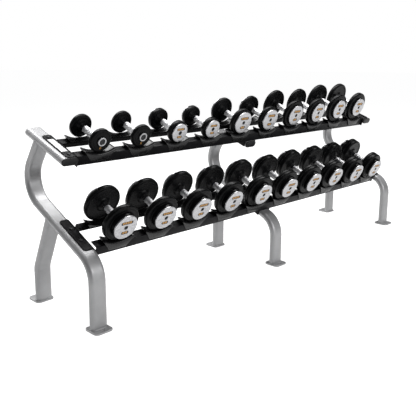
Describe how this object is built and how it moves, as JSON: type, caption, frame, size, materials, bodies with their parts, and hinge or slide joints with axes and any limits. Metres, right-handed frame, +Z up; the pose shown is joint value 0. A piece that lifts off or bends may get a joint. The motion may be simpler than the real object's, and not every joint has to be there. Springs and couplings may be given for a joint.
{
  "type": "dumbbell rack",
  "caption": "Two-tier sloping steel dumbbell rack on bent flat-oval frames, with moulded saddles that hold round-head dumbbells ready to lift off.",
  "frame": {"origin": "on the floor, at the middle of the footprint over the foot plates", "axes": "+X along the rack to the right as seen from the front, -Y towards the user at the front, +Z up"},
  "size_m": [2.468, 0.56, 0.9547],
  "materials": {
    "silver_paint": "satin silver powder coat",
    "black_paint": "satin black powder coat",
    "black_plastic": "moulded black end cap",
    "saddle_plastic": "moulded black, fine texture",
    "label_white": "plain white label plate",
    "black_steel": "black oxide button heads",
    "zinc_steel": "zinc plated pan heads",
    "dumbbell_iron": "black rubber-covered iron heads"
  },
  "bodies": {
    "rack": {"left_upright": "silver_paint", "left_rear_leg": "silver_paint", "left_top_arm": "silver_paint", "left_arm_cap": "black_plastic", "left_front_foot_plate": "silver_paint", "left_rear_foot_plate": "silver_paint", "middle_upright": "silver_paint", "middle_rear_leg": "silver_paint", "middle_top_arm": "silver_paint", "middle_arm_cap": "black_plastic", "middle_front_foot_plate": "silver_paint", "middle_rear_foot_plate": "silver_paint", "right_upright": "silver_paint", "right_rear_leg": "silver_paint", "right_top_arm": "silver_paint", "right_arm_cap": "black_plastic", "right_front_foot_plate": "silver_paint", "right_rear_foot_plate": "silver_paint", "left_upper_bracket": "black_paint", "left_lower_bracket": "black_paint", "middle_upper_bracket": "black_paint", "middle_lower_bracket": "black_paint", "right_upper_bracket": "black_paint", "right_lower_bracket": "black_paint", "label_plate": "label_white", "upper_front_rail": "black_paint", "upper_rear_rail": "black_paint", "lower_front_rail": "black_paint", "lower_rear_rail": "black_paint", "upper_front_saddles": "saddle_plastic", "upper_rear_saddles": "saddle_plastic", "lower_front_saddles": "saddle_plastic", "lower_rear_saddles": "saddle_plastic", "bracket_bolts": "black_steel", "saddle_screws": "zinc_steel"},
    "upper_dumbbell_1": {"upper_dumbbell_1": "dumbbell_iron"},
    "upper_dumbbell_2": {"upper_dumbbell_2": "dumbbell_iron"},
    "upper_dumbbell_3": {"upper_dumbbell_3": "dumbbell_iron"},
    "upper_dumbbell_4": {"upper_dumbbell_4": "dumbbell_iron"},
    "upper_dumbbell_5": {"upper_dumbbell_5": "dumbbell_iron"},
    "upper_dumbbell_6": {"upper_dumbbell_6": "dumbbell_iron"},
    "upper_dumbbell_7": {"upper_dumbbell_7": "dumbbell_iron"},
    "upper_dumbbell_8": {"upper_dumbbell_8": "dumbbell_iron"},
    "upper_dumbbell_9": {"upper_dumbbell_9": "dumbbell_iron"},
    "upper_dumbbell_10": {"upper_dumbbell_10": "dumbbell_iron"},
    "lower_dumbbell_1": {"lower_dumbbell_1": "dumbbell_iron"},
    "lower_dumbbell_2": {"lower_dumbbell_2": "dumbbell_iron"},
    "lower_dumbbell_3": {"lower_dumbbell_3": "dumbbell_iron"},
    "lower_dumbbell_4": {"lower_dumbbell_4": "dumbbell_iron"},
    "lower_dumbbell_5": {"lower_dumbbell_5": "dumbbell_iron"},
    "lower_dumbbell_6": {"lower_dumbbell_6": "dumbbell_iron"},
    "lower_dumbbell_7": {"lower_dumbbell_7": "dumbbell_iron"},
    "lower_dumbbell_8": {"lower_dumbbell_8": "dumbbell_iron"},
    "lower_dumbbell_9": {"lower_dumbbell_9": "dumbbell_iron"},
    "lower_dumbbell_10": {"lower_dumbbell_10": "dumbbell_iron"}
  },
  "joints": [
    {"name": "lift_upper_dumbbell_1", "type": "slide", "parent": "rack", "child": "upper_dumbbell_1", "axis": [0, -0.3338, 0.9426], "range_m": [0, 0.25]},
    {"name": "lift_upper_dumbbell_2", "type": "slide", "parent": "rack", "child": "upper_dumbbell_2", "axis": [0, -0.3338, 0.9426], "range_m": [0, 0.25]},
    {"name": "lift_upper_dumbbell_3", "type": "slide", "parent": "rack", "child": "upper_dumbbell_3", "axis": [0, -0.3338, 0.9426], "range_m": [0, 0.25]},
    {"name": "lift_upper_dumbbell_4", "type": "slide", "parent": "rack", "child": "upper_dumbbell_4", "axis": [0, -0.3338, 0.9426], "range_m": [0, 0.25]},
    {"name": "lift_upper_dumbbell_5", "type": "slide", "parent": "rack", "child": "upper_dumbbell_5", "axis": [0, -0.3338, 0.9426], "range_m": [0, 0.25]},
    {"name": "lift_upper_dumbbell_6", "type": "slide", "parent": "rack", "child": "upper_dumbbell_6", "axis": [0, -0.3338, 0.9426], "range_m": [0, 0.25]},
    {"name": "lift_upper_dumbbell_7", "type": "slide", "parent": "rack", "child": "upper_dumbbell_7", "axis": [0, -0.3338, 0.9426], "range_m": [0, 0.25]},
    {"name": "lift_upper_dumbbell_8", "type": "slide", "parent": "rack", "child": "upper_dumbbell_8", "axis": [0, -0.3338, 0.9426], "range_m": [0, 0.25]},
    {"name": "lift_upper_dumbbell_9", "type": "slide", "parent": "rack", "child": "upper_dumbbell_9", "axis": [0, -0.3338, 0.9426], "range_m": [0, 0.25]},
    {"name": "lift_upper_dumbbell_10", "type": "slide", "parent": "rack", "child": "upper_dumbbell_10", "axis": [0, -0.3338, 0.9426], "range_m": [0, 0.25]},
    {"name": "lift_lower_dumbbell_1", "type": "slide", "parent": "rack", "child": "lower_dumbbell_1", "axis": [0, -0.6428, 0.766], "range_m": [0, 0.25]},
    {"name": "lift_lower_dumbbell_2", "type": "slide", "parent": "rack", "child": "lower_dumbbell_2", "axis": [0, -0.6428, 0.766], "range_m": [0, 0.25]},
    {"name": "lift_lower_dumbbell_3", "type": "slide", "parent": "rack", "child": "lower_dumbbell_3", "axis": [0, -0.6428, 0.766], "range_m": [0, 0.25]},
    {"name": "lift_lower_dumbbell_4", "type": "slide", "parent": "rack", "child": "lower_dumbbell_4", "axis": [0, -0.6428, 0.766], "range_m": [0, 0.25]},
    {"name": "lift_lower_dumbbell_5", "type": "slide", "parent": "rack", "child": "lower_dumbbell_5", "axis": [0, -0.6428, 0.766], "range_m": [0, 0.25]},
    {"name": "lift_lower_dumbbell_6", "type": "slide", "parent": "rack", "child": "lower_dumbbell_6", "axis": [0, -0.6428, 0.766], "range_m": [0, 0.25]},
    {"name": "lift_lower_dumbbell_7", "type": "slide", "parent": "rack", "child": "lower_dumbbell_7", "axis": [0, -0.6428, 0.766], "range_m": [0, 0.25]},
    {"name": "lift_lower_dumbbell_8", "type": "slide", "parent": "rack", "child": "lower_dumbbell_8", "axis": [0, -0.6428, 0.766], "range_m": [0, 0.25]},
    {"name": "lift_lower_dumbbell_9", "type": "slide", "parent": "rack", "child": "lower_dumbbell_9", "axis": [0, -0.6428, 0.766], "range_m": [0, 0.25]},
    {"name": "lift_lower_dumbbell_10", "type": "slide", "parent": "rack", "child": "lower_dumbbell_10", "axis": [0, -0.6428, 0.766], "range_m": [0, 0.25]}
  ]
}
